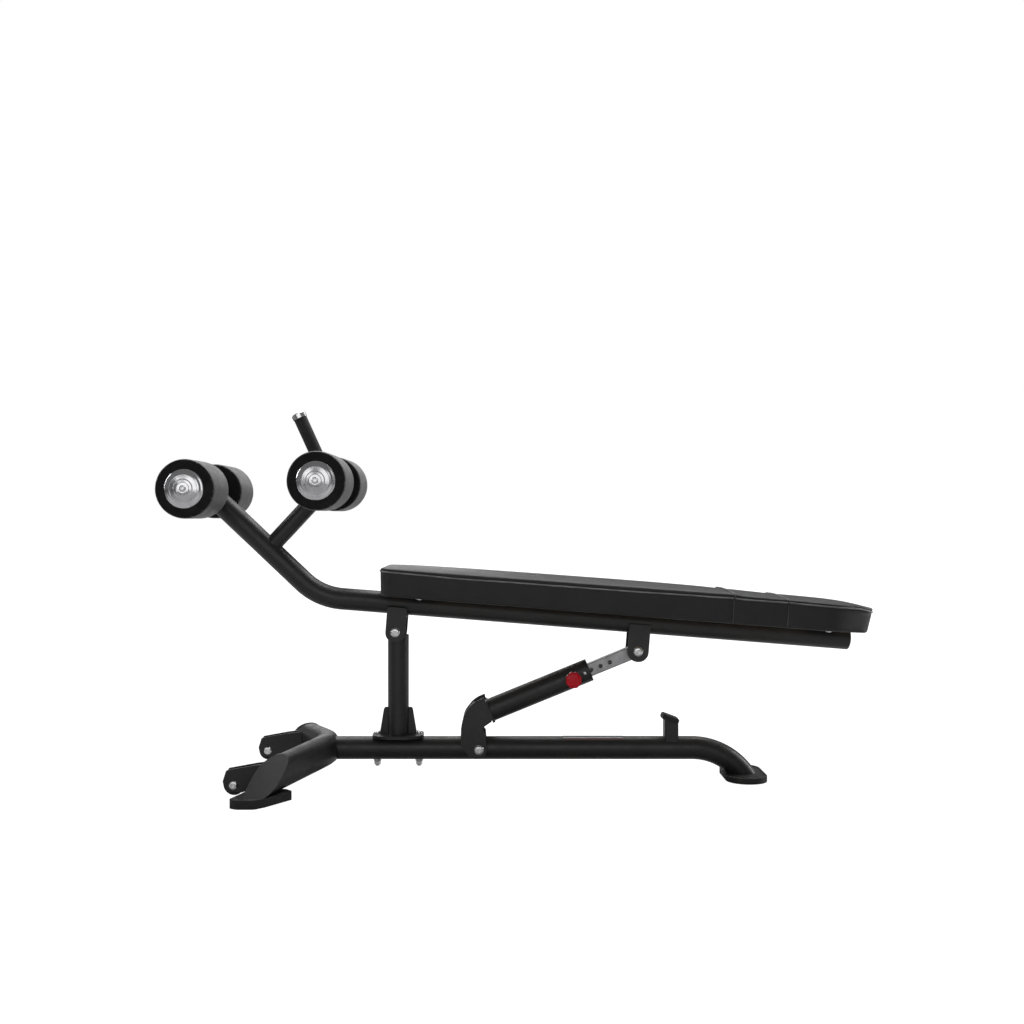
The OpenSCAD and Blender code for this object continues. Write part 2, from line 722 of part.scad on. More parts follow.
module axle_hub(r) difference() {
    rod_y(r, -hub_half, hub_half);
    rod_y(roller_axle_r, -2 * hub_half, 2 * hub_half);
}

module axle_hubs() color(black) {
    at_toe() axle_hub(toe_hub_r);
    at_knee() axle_hub(knee_hub_r);
}

module roller_axles() color(zinc) for (axle = [toe_axle, knee_axle]) at_bench()
    translate([axle.x, 0, axle.y]) rod_y(roller_axle_r, -roller_out - cap_gap, roller_out + cap_gap);

module axle_collars() color(black) for (axle = [toe_axle, knee_axle]) at_bench()
    translate([axle.x, 0, axle.y]) both_sides() difference() {
        rod_y(collar_r, roller_in - 1 - collar_t, roller_in - 1);
        rod_y(roller_axle_r, 0, roller_out);
    }

module knee_branch() color(black) at_bench() difference() {
    translate([knee_foot.x, 0, knee_foot.y]) rotate([0, 90 - knee_angle, 0]) difference() {
        cylinder(d = knee_d, h = knee_len);
        translate([0, 0, -cut]) cylinder(d = knee_d - 2 * wall, h = knee_len + 2 * cut);
    }
    neck() circle(d = bench_d);
    translate([knee_axle.x, 0, knee_axle.y]) rod_y(knee_hub_r, -hub_half - cut, hub_half + cut);
}

module at_handle() at_knee() rotate([0, -handle_lean, 0]) children();

module handle_tube() color(black) difference() {
    at_handle() difference() {
        cylinder(d = handle_d, h = handle_len);
        translate([0, 0, -cut]) cylinder(d = handle_d - 5, h = handle_len + 2 * cut);
    }
    at_knee() rod_y(knee_hub_r, -hub_half - cut, hub_half + cut);
}

module handle_grip() color(rubber) at_handle() difference() {
    translate([0, 0, grip_from]) rotate_extrude() polygon([[0, 0], [grip_d / 2 - 2, 0], [grip_d / 2, 2],
        [grip_d / 2, handle_len - grip_from], [0, handle_len - grip_from]]);
    cylinder(d = handle_d, h = 2 * handle_len);
}

module grip_collar() color(polished) at_handle() translate([0, 0, handle_len]) difference() {
    rotate_extrude() polygon([[0, 0], [grip_d / 2 + 1.5, 0], [grip_d / 2 + 1.5, grip_collar_h - 2],
        [grip_d / 2 - 1, grip_collar_h], [0, grip_collar_h]]);
    translate([0, 0, 2]) cylinder(d = 19, h = grip_collar_h);
}

// Stepped dome that closes the outer end of a roller, about the Z axis
module end_cap() rotate_extrude() {
    r = cap_d / 2;
    polygon([
        [0, 0], [r - 1, 0], [r, 1], [r, 2.5], [r - 1.5, 4], [r - 5, 5.2], [r * 0.8, 8.4], [r * 0.72, 9.6],
        [r * 0.7, 9.2], [r * 0.5, 11.2], [r * 0.46, 12.8], [r * 0.34, 14], [r * 0.3, 13.2],
        [r * 0.22, 13.6], [0, 13.6]
    ]);
}

module end_caps() color(polished) for (axle = [toe_axle, knee_axle]) at_bench()
    translate([axle.x, 0, axle.y]) both_sides() translate([0, roller_out + cap_gap, 0])
        rotate([-90, 0, 0]) end_cap();

module cap_screws() color(zinc) for (axle = [toe_axle, knee_axle]) at_bench()
    translate([axle.x, 0, axle.y]) both_sides() translate([0, roller_out + cap_gap + 13.6, 0])
        rotate([-90, 0, 0]) button_head(8, 5);

// ---------- rollers ----------

// Foam roller on the left side, with rounded ends
module foam_roller() rotate([-90, 0, 0]) rotate_extrude() {
    r = roller_d / 2;
    e = roller_edge;
    polygon(concat(
        [[core_r, roller_in]],
        [for (a = [-90:15:0]) [r - e + e * cos(a), roller_in + e + e * sin(a)]],
        [for (a = [0:15:90]) [r - e + e * cos(a), roller_out - e + e * sin(a)]],
        [[core_r, roller_out]]
    ));
}

module roller_core() difference() {
    rod_y(core_r, roller_in, roller_out);
    rod_y(roller_axle_r + run_fit, 0, 2 * roller_out);
}

module roller_toe_left() color(rubber) at_toe() foam_roller();
module roller_toe_right() color(rubber) at_toe() mirror([0, 1, 0]) foam_roller();
module roller_knee_left() color(rubber) at_knee() foam_roller();
module roller_knee_right() color(rubber) at_knee() mirror([0, 1, 0]) foam_roller();
module core_toe_left() color(zinc) at_toe() roller_core();
module core_toe_right() color(zinc) at_toe() mirror([0, 1, 0]) roller_core();
module core_knee_left() color(zinc) at_knee() roller_core();
module core_knee_right() color(zinc) at_knee() mirror([0, 1, 0]) roller_core();

// ---------- pad ----------

module pad_mounts() color(black) at_bench() difference() {
    for (x = mount_at) translate([x - mount_len / 2, -mount_w / 2, bench_top - mount_t])
        cube([mount_len, mount_w, mount_t]);
    translate([0, 0, bench_rise]) rod_x(bench_d / 2, -10, bench_run);
    for (x = mount_at) both_sides() translate([x, mount_screw_y, 0]) cylinder(r = 4.5, h = 2 * bench_top);
}

module pad_screws() color(zinc) at_bench() for (x = mount_at) both_sides()
    translate([x, mount_screw_y, bench_top - mount_t]) {
        rotate([180, 0, 0]) button_head(8, 4.5);
        cylinder(r = 4, h = mount_t + gap + board_t - 4);
    }

module pad_outline(inset) offset(delta = -inset) rounded(pad_plan);

// The pad's outer shape: its side view and its plan, in the bench's own frame
module pad_solid(inset) translate([0, 0, pad_z]) intersection() {
    plate_y(-pad_w, pad_w) offset(delta = -inset) rounded(pad_side);
    linear_extrude(3 * pad_t, center = true) pad_outline(inset);
}

module board_solid(grow) translate([0, 0, pad_z - grow]) intersection() {
    linear_extrude(board_t + grow) pad_outline(board_inset / 2);
    plate_y(-pad_w, pad_w) translate([board_inset - pad_back, -cut])
        square([pad_len - 2 * board_inset, board_t + 2 * cut + grow]);
}

module pad_board() color(ply) at_bench() difference() {
    board_solid(0);
    for (x = mount_at) both_sides() translate([x, mount_screw_y, bench_top - mount_t])
        cylinder(r = 4, h = mount_t + gap + board_t - 4);
}

module beam_notch() translate([-pad_back - cut, -pad_notch / 2, pad_z - pad_hang - cut])
    cube([board_inset + 2 * cut, pad_notch, pad_hang + cut]);

module pad_foam() color(foam) at_bench() difference() {
    pad_solid(cover_t);
    board_solid(pad_hang + cut);
    beam_notch();
}

module pad_cover() color(vinyl) at_bench() difference() {
    pad_solid(0);
    pad_solid(cover_t);
    board_solid(pad_hang + cut);
    beam_notch();
}

base_beam();
rear_bend();
front_stabiliser();
stabiliser_end_plates();
foot_plates();
foot_pads();
wheel_brackets();
wheel_axles();
upright_post();
post_flange();
post_gussets();
post_bolts();
post_nuts();
pivot_tubes();
pivot_bushings();
stop_post();
stop_cap();
label_strip();
wheel_left();
wheel_right();
strut_sleeve();
strut_bracket();
sleeve_guide();
guide_screws();
lower_pivot_bolt();
pin_housing();
pin_spring();
pin_shaft();
pin_knob();
inner_tube();
inner_end_plug();
bench_beam();
neck_bend();
neck_tube();
tube_plugs();
tilt_bracket();
strut_upper_bracket();
bench_pivot_bolts();
pad_mounts();
pad_screws();
pad_board();
pad_foam();
pad_cover();
axle_hubs();
roller_axles();
axle_collars();
knee_branch();
handle_tube();
handle_grip();
grip_collar();
end_caps();
cap_screws();
roller_toe_left();
roller_toe_right();
roller_knee_left();
roller_knee_right();
core_toe_left();
core_toe_right();
core_knee_left();
core_knee_right();
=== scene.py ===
"""Looks of the decline abdominal bench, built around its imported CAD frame. All lengths are in metres."""

import json
import math

import bpy
import numpy as np
from mathutils import Matrix, Vector, noise


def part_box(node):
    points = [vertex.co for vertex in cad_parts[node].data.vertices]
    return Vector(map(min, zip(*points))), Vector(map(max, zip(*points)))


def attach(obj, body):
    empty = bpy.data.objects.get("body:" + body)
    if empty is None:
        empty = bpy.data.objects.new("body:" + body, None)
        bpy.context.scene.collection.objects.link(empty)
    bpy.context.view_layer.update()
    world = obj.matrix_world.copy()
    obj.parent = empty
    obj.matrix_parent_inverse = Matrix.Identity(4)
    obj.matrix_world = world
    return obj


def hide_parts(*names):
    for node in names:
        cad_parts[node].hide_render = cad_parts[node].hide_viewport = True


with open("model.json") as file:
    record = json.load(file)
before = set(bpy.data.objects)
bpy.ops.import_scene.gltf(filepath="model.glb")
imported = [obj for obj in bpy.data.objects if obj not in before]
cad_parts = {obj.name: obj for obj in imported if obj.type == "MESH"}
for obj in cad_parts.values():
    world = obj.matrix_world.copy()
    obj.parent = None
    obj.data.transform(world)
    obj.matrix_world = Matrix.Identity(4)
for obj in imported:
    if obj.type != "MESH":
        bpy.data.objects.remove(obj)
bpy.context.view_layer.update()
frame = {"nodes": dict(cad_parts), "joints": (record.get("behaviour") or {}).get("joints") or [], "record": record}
nodes = frame["nodes"]
joints = {j["name"]: j for j in frame["joints"]}
scene = bpy.context.scene

MM = 0.001
PIVOT = Vector(joints["bench_tilt"]["pos_m"])
TOE_AXLE = Vector(joints["toe_left_spin"]["pos_m"])
KNEE_AXLE = Vector(joints["knee_left_spin"]["pos_m"])
SLOPE = math.radians(4.5)
BENCH = Matrix.Translation(PIVOT) @ Matrix.Rotation(SLOPE, 4, "Y")


def extent(node, placed):
    """Lowest and highest corner of a CAD node at rest, in the axes of the matrix placed."""
    inverse = placed.inverted()
    corners = np.array([inverse @ v.co for v in nodes[node].data.vertices])
    return Vector(corners.min(0)), Vector(corners.max(0))


# ---------- camera, light and floor ----------


def make_camera():
    """A long lens, level and square to the bench's side, a little above the pad."""
    data = bpy.data.cameras.new("camera")
    data.sensor_width = 36
    data.lens = 43.6
    data.shift_x = 0.007
    data.shift_y = 0.003
    camera = bpy.data.objects.new("camera", data)
    camera.location = (PIVOT.x + 0.271, -3.1, 0.654)
    camera.rotation_euler = (math.radians(90), 0, 0)
    scene.collection.objects.link(camera)
    scene.camera = camera


def area_light(name, place, aim, size, power):
    data = bpy.data.lights.new(name, "AREA")
    data.shape = "RECTANGLE"
    data.size, data.size_y = size
    data.energy = power
    light = bpy.data.objects.new(name, data)
    light.location = place
    light.rotation_euler = (Vector(aim) - Vector(place)).to_track_quat("-Z", "Y").to_euler()
    scene.collection.objects.link(light)


def make_world(seen, lit):
    """An even pale surround: seen is how bright it is behind the object, lit is how strongly it lights it."""
    world = bpy.data.worlds.new("surround")
    scene.world = world
    world.use_nodes = True
    tree = world.node_tree
    background = tree.nodes["Background"]
    background.inputs["Color"].default_value = (1, 1, 1, 1)
    path = tree.nodes.new("ShaderNodeLightPath")
    strength = tree.nodes.new("ShaderNodeMix")
    strength.inputs["A"].default_value = lit
    strength.inputs["B"].default_value = seen
    tree.links.new(path.outputs["Is Camera Ray"], strength.inputs["Factor"])
    tree.links.new(strength.outputs["Result"], background.inputs["Strength"])


def make_floor(material):
    mesh = bpy.data.meshes.new("floor")
    half = 30
    corners = [(-half, -half, 0), (half, -half, 0), (half, half, 0), (-half, half, 0)]
    mesh.from_pydata(corners, [], [(0, 1, 2, 3)])
    floor = bpy.data.objects.new("floor", mesh)
    mesh.materials.append(material)
    scene.collection.objects.link(floor)


# ---------- shader helpers ----------


class Finish:
    """A material's node tree, with short calls for the nodes that the finishes below share."""

    def __init__(self, name, colour, rough, metallic=0.0, **constants):
        self.material = bpy.data.materials.new(name)
        self.material.use_nodes = True
        self.tree = self.material.node_tree
        self.shader = self.tree.nodes["Principled BSDF"]
        self.set("Base Color", (*colour, 1))
        self.set("Roughness", rough)
        self.set("Metallic", metallic)
        for socket, value in constants.items():
            self.set(socket.replace("_", " "), value)
        self.place = self.node("TexCoord").outputs["Object"]

    def node(self, kind, **inputs):
        made = self.tree.nodes.new("ShaderNode" + kind)
        for socket, value in inputs.items():
            self.feed(made.inputs[socket.replace("_", " ")], value)
        return made

    def feed(self, socket, value):
        if isinstance(value, bpy.types.NodeSocket):
            self.tree.links.new(value, socket)
        else:
            socket.default_value = value

    def set(self, socket, value):
        self.feed(self.shader.inputs[socket], value)

    def stretched(self, scale, turn=0.0):
        """Object coordinates turned about Y and scaled along the turned axes."""
        turned = self.node("VectorRotate", Vector=self.place, Angle=turn)
        turned.rotation_type = "Y_AXIS"
        return self.vectors("MULTIPLY", turned.outputs[0], scale)

    def noise(self, scale, detail=2.0, rough=0.5, at=None, twist=0.0):
        return self.node(
            "TexNoise", Vector=at or self.place, Scale=scale, Detail=detail, Roughness=rough, Distortion=twist
        ).outputs["Fac"]

    def cells(self, scale, feature="F1", at=None):
        made = self.node("TexVoronoi", Vector=at or self.place, Scale=scale)
        made.feature = feature
        return made.outputs["Distance"]

    def sums(self, operation, a, b=0.0):
        made = self.node("Math")
        made.operation = operation
        self.feed(made.inputs[0], a)
        self.feed(made.inputs[1], b)
        return made.outputs[0]

    def vectors(self, operation, a, b=None):
        """A vector operation's result, which is a single value for LENGTH and DOT_PRODUCT."""
        made = self.node("VectorMath", Vector=a)
        made.operation = operation
        if b is not None:
            self.feed(made.inputs[1], b)
        return made.outputs["Value" if operation in ("LENGTH", "DOT_PRODUCT") else "Vector"]

    def spread(self, value, low, high, to_low=0.0, to_high=1.0):
        """value, from low to high, mapped smoothly to to_low to to_high."""
        made = self.node("MapRange", Value=value)
        made.interpolation_type = "SMOOTHSTEP"
        for socket, number in zip(("From Min", "From Max", "To Min", "To Max"), (low, high, to_low, to_high)):
            made.inputs[socket].default_value = number
        return made.outputs["Result"]

    def blend(self, factor, a, b):
        """Colour from a to b: a colour mix takes them at inputs 6 and 7 and gives output 2."""
        made = self.node("Mix")
        made.data_type = "RGBA"
        self.feed(made.inputs["Factor"], factor)
        self.feed(made.inputs[6], (*a, 1) if isinstance(a, tuple) else a)
        self.feed(made.inputs[7], (*b, 1) if isinstance(b, tuple) else b)
        return made.outputs[2]

    def blend_vectors(self, factor, a, b):
        """Vector from a to b: a vector mix takes them at inputs 4 and 5 and gives output 1."""
        made = self.node("Mix", Factor=factor)
        made.data_type = "VECTOR"
        self.feed(made.inputs[4], a)
        self.feed(made.inputs[5], b)
        return made.outputs[1]

    def edge(self, radius):
        """1 along sharp edges and 0 on open surface."""
        rounded = self.node("Bevel", Radius=radius)
        rounded.samples = 4
        true = self.node("NewGeometry").outputs["Normal"]
        return self.spread(self.vectors("DOT_PRODUCT", rounded.outputs[0], true), 0.995, 0.9)

    def facing_up(self):
        normal = self.node("SeparateXYZ", Vector=self.node("NewGeometry").outputs["Normal"])
        return self.spread(normal.outputs["Z"], 0.3, 1.0)

    def bump(self, height, depth, under=None):
        """Drives the surface normal by a height, on top of the normal under where one is given."""
        made = self.node("Bump", Height=height, Distance=depth, Strength=1.0)
        if under is not None:
            self.feed(made.inputs["Normal"], under)
        self.set("Normal", made.outputs[0])

    def soft_edges(self, radius):
        """Shading normal with every sharp edge rounded to radius."""
        made = self.node("Bevel", Radius=radius)
        made.samples = 4
        return made.outputs[0]


# ---------- finishes ----------


def powder_coat(name, base, worn):
    """Satin black powder coat: orange peel, faint patches of gloss, rubbed edges and a little dust on top."""
    f = Finish(name, base, 0.4, Specular_IOR_Level=0.5)
    patches = f.noise(9, 3)
    peel = f.noise(620, 2, 0.6)
    rubbed = f.sums("MULTIPLY", f.edge(0.0016), f.spread(f.noise(55, 4, 0.7), 0.48, 0.66))
    dust = f.sums("MULTIPLY", f.facing_up(), f.spread(f.noise(26, 5, 0.7), 0.45, 0.8, 0.0, 0.3))
    tone = f.blend(f.spread(patches, 0.3, 0.7), base, tuple(1.35 * c for c in base))
    tone = f.blend(dust, tone, (0.075, 0.072, 0.068))
    f.set("Base Color", f.blend(rubbed, tone, worn))
    gloss = f.spread(f.noise(34, 5, 0.65), 0.3, 0.7, 0.34, 0.47)
    f.set("Roughness", f.sums("ADD", gloss, f.sums("MULTIPLY", dust, 0.5)))
    f.bump(peel, 0.00012, f.soft_edges(0.0007))
    return f.material


def rubber(name, base, rough):
    """Matt moulded rubber: fine grit, greyed and scuffed on its edges."""
    f = Finish(name, base, rough)
    scuff = f.sums("MULTIPLY", f.edge(0.002), f.spread(f.noise(90, 4, 0.7), 0.42, 0.7))
    tone = f.blend(f.spread(f.noise(30, 4), 0.35, 0.7), base, tuple(1.6 * c for c in base))
    f.set("Base Color", f.blend(scuff, tone, (0.07, 0.068, 0.066)))
    f.set("Roughness", f.spread(f.noise(180, 3), 0.3, 0.7, rough - 0.08, rough + 0.08))
    f.bump(f.noise(1500, 3, 0.7), 0.00015, f.soft_edges(0.0008))
    return f.material


def plastic(name, base, rough, grit):
    """Moulded plastic: fine grit and slightly uneven gloss."""
    f = Finish(name, base, rough)
    f.set("Base Color", f.blend(f.spread(f.noise(40, 3), 0.3, 0.7), base, tuple(1.3 * c for c in base)))
    f.set("Roughness", f.spread(f.noise(240, 3), 0.3, 0.7, rough - 0.05, rough + 0.06))
    f.bump(f.noise(grit, 3, 0.6), 0.00008, f.soft_edges(0.0006))
    return f.material


def zinc_plate(name, light, dark, rough, edge):
    """Zinc: cloudy crystals, drawing lines along the strut and edges that catch the light."""
    f = Finish(name, light, rough, metallic=1.0)
    lines = f.noise(1, 4, 0.6, at=f.stretched((6, 700, 700), turn=math.radians(22.2)))
    tone = f.blend(f.spread(f.noise(45, 4), 0.3, 0.7), light, dark)
    f.set("Base Color", f.blend(f.spread(lines, 0.35, 0.75, 0.0, 0.35), tone, tuple(0.7 * c for c in dark)))
    f.set("Roughness", f.spread(f.noise(70, 5, 0.7), 0.3, 0.7, rough - 0.06, rough + 0.06))
    f.bump(lines, 0.00002, f.soft_edges(edge))
    return f.material


def turned_aluminium():
    """Polished aluminium, spun about each roller axle: fine rings whose glints stretch into spokes."""
    f = Finish("polished_aluminium", (0.86, 0.86, 0.88), 0.2, metallic=1.0, Anisotropic=0.6)
    middle = (TOE_AXLE.x + KNEE_AXLE.x) / 2
    at_knee = f.sums("GREATER_THAN", f.node("SeparateXYZ", Vector=f.place).outputs["X"], middle)
    centre = f.blend_vectors(at_knee, tuple(TOE_AXLE), tuple(KNEE_AXLE))
    from_axle = f.vectors("MULTIPLY", f.vectors("SUBTRACT", f.place, centre), (1, 0, 1))
    f.set("Tangent", f.vectors("CROSS_PRODUCT", from_axle, (0, 1, 0)))
    line = f.node("CombineXYZ", X=f.vectors("LENGTH", from_axle)).outputs[0]
    f.set("Roughness", f.spread(f.noise(400, 4, at=line), 0.35, 0.7, 0.12, 0.24))
    f.set("Base Color", f.blend(f.spread(f.noise(24, 4), 0.4, 0.7), (0.9, 0.9, 0.92), (0.74, 0.74, 0.77)))
    f.bump(f.noise(2400, 3, 0.7, at=line), 0.00003, f.soft_edges(0.0003))
    return f.material


def bronze():
    """Sintered bronze bushings: mottled and porous."""
    f = Finish("sintered_bronze", (0.55, 0.4, 0.2), 0.45, metallic=1.0)
    f.set("Base Color", f.blend(f.noise(300, 4), (0.6, 0.44, 0.24), (0.36, 0.26, 0.14)))
    f.bump(f.cells(1800), 0.00008)
    return f.material


def vinyl(name, base, grain):
    """Grained upholstery vinyl: fine pebbles between creases, with softer gloss where it is rubbed."""
    f = Finish(name, base, 0.42, Specular_IOR_Level=0.5, Coat_Weight=0.08, Coat_Roughness=0.35)
    warp = f.node("TexNoise", Vector=f.place, Scale=120.0)
    bent = f.blend_vectors(0.012, f.place, warp.outputs["Color"])
    pebbles = f.cells(grain, "DISTANCE_TO_EDGE", at=bent)
    height = f.sums("ADD", f.spread(pebbles, 0.0, 0.25), f.sums("MULTIPLY", f.noise(grain * 3, 3), 0.4))
    f.set("Base Color", f.blend(f.spread(f.noise(14, 4), 0.3, 0.7), base, tuple(1.5 * c for c in base)))
    rubbed = f.sums("MULTIPLY", f.facing_up(), f.spread(f.noise(7, 3), 0.35, 0.75))
    f.set("Roughness", f.sums("SUBTRACT", 0.5, f.sums("MULTIPLY", rubbed, 0.12)))
    f.bump(height, 0.00018)
    return f.material


def skinned_foam():
    """Closed-cell foam with a moulded skin: shallow pores and a dry bloom."""
    f = Finish("foam_black", (0.045, 0.045, 0.046), 0.5, Sheen_Weight=0.2, Sheen_Roughness=0.5)
    pores = f.spread(f.cells(750), 0.0, 0.45)
    bloom = f.spread(f.noise(18, 4), 0.3, 0.75)
    f.set("Base Color", f.blend(bloom, (0.048, 0.048, 0.049), (0.075, 0.075, 0.076)))
    f.set("Roughness", f.spread(f.noise(60, 4), 0.3, 0.7, 0.4, 0.56))
    f.bump(f.sums("ADD", pores, f.sums("MULTIPLY", f.noise(90, 3), 1.5)), 0.00016)
    return f.material


def foam_face_painted_shade():
    """The roller's end skin: duller than its barrel, with fine radial grain, and darker than it as painted shade
    on the end faces.
    """
    f = Finish("foam_face_painted_shade", (0.006, 0.006, 0.006), 0.62, Specular_IOR_Level=0.22)
    bloom = f.spread(f.noise(26, 4), 0.3, 0.75)
    f.set("Base Color", f.blend(bloom, (0.004, 0.004, 0.004), (0.012, 0.012, 0.012)))
    f.set("Roughness", f.spread(f.noise(80, 4), 0.3, 0.7, 0.55, 0.7))
    f.bump(f.sums("ADD", f.spread(f.cells(650), 0.0, 0.45), f.noise(160, 3)), 0.0002)
    return f.material


def piping_vinyl(name, dark, light):
    """Smooth piping whose crown is polished by wear; its colour runs at random between dark and light, and where
    these are pale greys that colour is a painted highlight.
    """
    f = Finish(name, dark, 0.34, Specular_IOR_Level=0.8, Coat_Weight=0.3, Coat_Roughness=0.3)
    f.set("Base Color", f.blend(f.spread(f.noise(30, 4), 0.35, 0.7), dark, light))
    f.bump(f.noise(900, 3), 0.00006)
    return f.material


def plywood():
    """Birch plywood: long grain on its face and dark glue lines in its edge."""
    f = Finish("plywood", (0.62, 0.46, 0.28), 0.6)
    grain = f.noise(1, 5, 0.6, at=f.stretched((9, 130, 130), turn=-SLOPE), twist=0.4)
    fine = f.noise(1, 3, 0.6, at=f.stretched((60, 1400, 1400), turn=-SLOPE))
    tone = f.blend(f.spread(grain, 0.3, 0.75), (0.66, 0.5, 0.32), (0.42, 0.28, 0.15))
    f.set("Base Color", f.blend(f.spread(fine, 0.5, 0.8, 0.0, 0.5), tone, (0.3, 0.2, 0.11)))
    f.bump(fine, 0.0001)
    return f.material


def knob_plastic():
    """Glossy red knob: cloudy pigment and fine handling marks."""
    f = Finish("knob_red", (0.55, 0.002, 0.012), 0.3, Specular_IOR_Level=0.35)
    f.set("Base Color", f.blend(f.noise(90, 3), (0.75, 0.004, 0.022), (0.6, 0.003, 0.015)))
    f.set("Roughness", f.spread(f.noise(300, 4), 0.35, 0.7, 0.22, 0.36))
    f.bump(f.noise(900, 2), 0.00004, f.soft_edges(0.0009))
    return f.material


def label_film():
    """Blank dark satin film with a thin pale line near its upper edge and a faint red band under it."""
    f = Finish("blank_label", (0.03, 0.03, 0.03), 0.4)
    height = f.node("SeparateXYZ", Vector=f.place).outputs["Z"]
    low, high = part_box("label_strip")
    film = f.blend(f.noise(60, 4), (0.022, 0.022, 0.022), (0.04, 0.04, 0.04))
    for share, half, tone in ((0.35, 0.0011, (0.09, 0.012, 0.014)), (0.8, 0.0006, (0.4, 0.38, 0.38))):
        line = low.z + share * (high.z - low.z)
        on_line = f.sums("LESS_THAN", f.sums("ABSOLUTE", f.sums("SUBTRACT", height, line)), half)
        film = f.blend(on_line, film, tone)
    f.set("Base Color", film)
    f.bump(f.noise(500, 2), 0.00003)
    return f.material


def thread():
    """Bonded black thread, paler where its fibres catch the light."""
    f = Finish("thread_black", (0.03, 0.03, 0.03), 0.55, Sheen_Weight=0.3)
    f.set("Base Color", f.blend(f.noise(700, 2), (0.025, 0.025, 0.025), (0.06, 0.06, 0.06)))
    f.bump(f.noise(3000, 2), 0.0001)
    return f.material


def pale_floor():
    """White sweep: soft shadows near the object, fading into the surround; it bounces light as mid grey."""
    f = Finish("floor", (0.8, 0.8, 0.8), 0.9, Specular_IOR_Level=0.0)
    f.set("Base Color", f.blend(f.noise(3, 3), (0.79, 0.79, 0.79), (0.81, 0.81, 0.81)))
    away = f.vectors("LENGTH", f.stretched((0.8, 1.1, 1)))
    glow = f.node("Emission", Color=(1, 1, 1, 1), Strength=1.25)
    seen = f.node("MixShader", Fac=f.spread(away, 0.5, 1.5, 0.8, 1.0))
    dim = f.node("BsdfDiffuse", Color=(0.5, 0.5, 0.5, 1))
    whole = f.node("MixShader", Fac=f.node("LightPath").outputs["Is Camera Ray"])
    f.tree.links.new(f.shader.outputs[0], seen.inputs[1])
    f.tree.links.new(glow.outputs[0], seen.inputs[2])
    f.tree.links.new(dim.outputs[0], whole.inputs[1])
    f.tree.links.new(seen.outputs[0], whole.inputs[2])
    f.tree.links.new(whole.outputs[0], f.tree.nodes["Material Output"].inputs["Surface"])
    return f.material


LOOKS = {
    "powder_black": powder_coat("powder_black", (0.017, 0.017, 0.017), (0.06, 0.06, 0.06)),
    "bracket_black": powder_coat("bracket_black", (0.021, 0.021, 0.021), (0.07, 0.07, 0.07)),
    "rubber_black": rubber("rubber_black", (0.016, 0.016, 0.016), 0.72),
    "black_plastic": plastic("black_plastic", (0.014, 0.014, 0.014), 0.4, 900),
    "core_tube": plastic("core_tube", (0.08, 0.08, 0.08), 0.45, 500),
    "zinc_steel": zinc_plate("zinc_steel", (0.95, 0.95, 0.96), (0.84, 0.84, 0.86), 0.26, 0.0012),
    "drawn_steel": zinc_plate("drawn_steel", (0.5, 0.5, 0.51), (0.38, 0.38, 0.39), 0.4, 0.0004),
    "sintered_bronze": bronze(),
    "knob_red": knob_plastic(),
    "plywood": plywood(),
    "vinyl_black": vinyl("vinyl_black", (0.009, 0.009, 0.009), 620),
    "polished_aluminium": turned_aluminium(),
    "foam_black": skinned_foam(),
    "blank_label": label_film(),
    "thread_black": thread(),
    # The welt's piping is black; its pale grey here is a painted highlight along the welt.
    "piping_painted_highlight": piping_vinyl("piping_painted_highlight", (0.12, 0.12, 0.122), (0.22, 0.22, 0.222)),
    "seam_black": piping_vinyl("seam_black", (0.016, 0.016, 0.016), (0.04, 0.04, 0.04)),
    # The roller ends take a darker copy of the barrel's foam: painted shade on the end faces.
    "foam_face_painted_shade": foam_face_painted_shade(),
}


def paint_frame():
    """Gives each CAD node the finish of its material slot, and the strut's tube its own drawn finish."""
    for part in frame["record"]["subparts"]:
        look = LOOKS["drawn_steel"] if part["node"] == "inner_tube" else LOOKS.get(part["material_slot"])
        mesh = nodes[part["node"]].data
        if look:
            mesh.materials.clear()
            mesh.materials.append(look)


# ---------- mesh helpers ----------


def fade(value, low, high):
    """0 below low, 1 above high, and smooth between them."""
    t = np.clip((value - low) / (high - low), 0, 1)
    return t * t * (3 - 2 * t)


def ripple(x, y, z=0.0):
    """Smooth noise from -1 to 1, the same on every run."""
    return noise.noise((x, y, z))


def lathe(count, turns, sides):
    """Vertices and faces of count points turned about Y; turns(angle, index) is a point's (radius, along)."""
    verts, faces = [], []
    for i in range(sides):
        angle = 2 * math.pi * i / sides
        for index in range(count):
            radius, along = turns(angle, index)
            verts.append((radius * math.cos(angle), along, radius * math.sin(angle)))
    for i in range(sides):
        for j in range(count):
            here, there = i * count, (i + 1) % sides * count
            after = (j + 1) % count
            faces.append((here + j, here + after, there + after, there + j))
    return verts, faces


# ---------- pad ----------

CAST = extent("pad_cover", BENCH)
FOOT, HEAD = CAST[0].x, CAST[1].x
HALF = CAST[1].y
UNDER_BOARD = extent("pad_board", BENCH)[0].z
HANG = UNDER_BOARD - CAST[0].z
CREST = CAST[1].z - UNDER_BOARD
SEAMS = (811 * MM, 942 * MM)
FOOT_CORNER, HEAD_CORNER = 34 * MM, 62 * MM


def rounded_path(points, steps=10):
    """Polyline through (x, y, radius) points, with each inner corner rounded."""
    path = [points[0][:2]]
    for before, here, after in zip(points, points[1:], points[2:]):
        spot, radius = Vector(here[:2]), here[2]
        a = (Vector(before[:2]) - spot).normalized()
        b = (Vector(after[:2]) - spot).normalized()
        half = a.angle(b) / 2
        centre = spot + (a + b).normalized() * radius / math.sin(half)
        start = spot + a * radius / math.tan(half) - centre
        end = spot + b * radius / math.tan(half) - centre
        turn = start.angle_signed(end)
        for i in range(steps + 1):
            angle = math.atan2(start.y, start.x) - turn * i / steps
            path.append((centre.x + radius * math.cos(angle), centre.y + radius * math.sin(angle)))
    path.append(points[-1][:2])
    return np.array(path)


